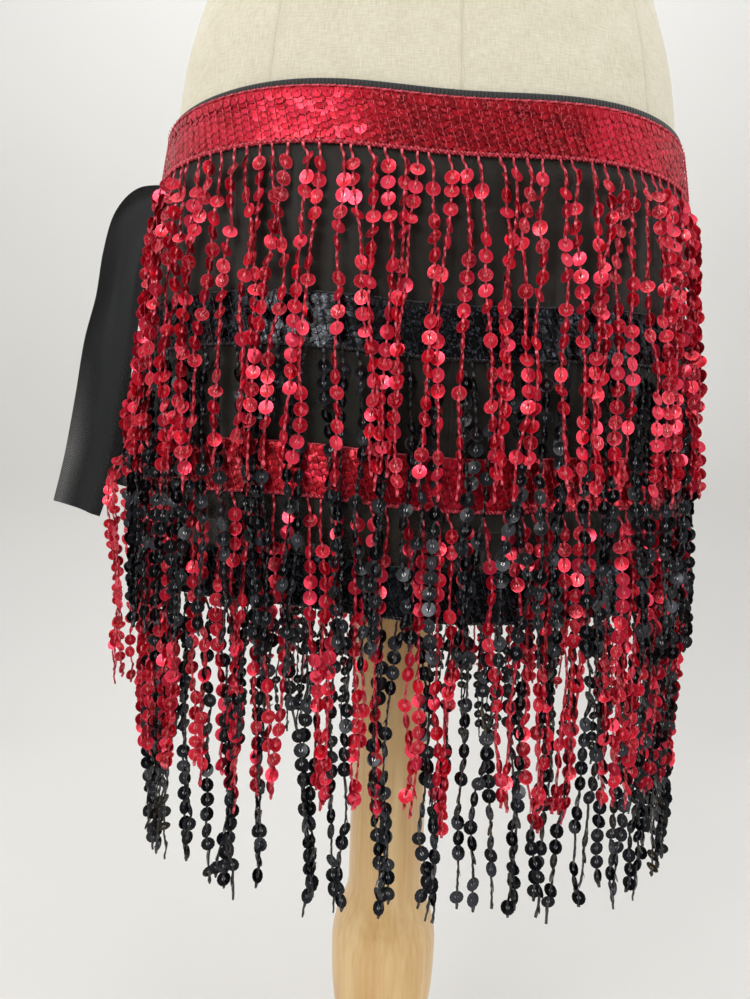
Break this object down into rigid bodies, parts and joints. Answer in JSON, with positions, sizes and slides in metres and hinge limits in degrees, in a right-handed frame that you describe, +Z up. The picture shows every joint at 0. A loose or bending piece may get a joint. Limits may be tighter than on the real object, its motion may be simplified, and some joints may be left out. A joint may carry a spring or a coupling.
{
  "type": "belly dance hip skirt on a skirt form",
  "caption": "Wrap hip skirt of sheer cloth with tiers of sequin bands and sequin fringe, tied at the left hip and worn on a limbless linen hip form on a turned wooden column and round base.",
  "frame": {"origin": "centre of the round base's flat underside, on the floor", "axes": "+Z up, the form's front faces -Y, the tie hangs at -X"},
  "size_m": [0.4679, 0.3, 0.939],
  "materials": {
    "wood": "satin clear lacquer on light beech",
    "linen": "matt plain woven linen",
    "chiffon": "sheer black chiffon, soft sheen",
    "red_sequin": "metallic red film sequins on red thread",
    "black_sequin": "glossy black film sequins on black thread"
  },
  "bodies": {
    "root": {"base_disc": "wood", "column": "wood", "form_torso": "linen", "base_cloth": "chiffon", "waist_binding": "chiffon", "band_1": "red_sequin", "band_2": "black_sequin", "band_3": "red_sequin", "band_4": "black_sequin", "fringe_1": "red_sequin", "fringe_2": "black_sequin", "fringe_3": "red_sequin", "fringe_4": "black_sequin", "tie_knot": "chiffon", "tie_lead_front": "chiffon", "tie_lead_back": "chiffon", "tie_tail_front": "chiffon", "tie_tail_back": "chiffon"}
  },
  "joints": []
}
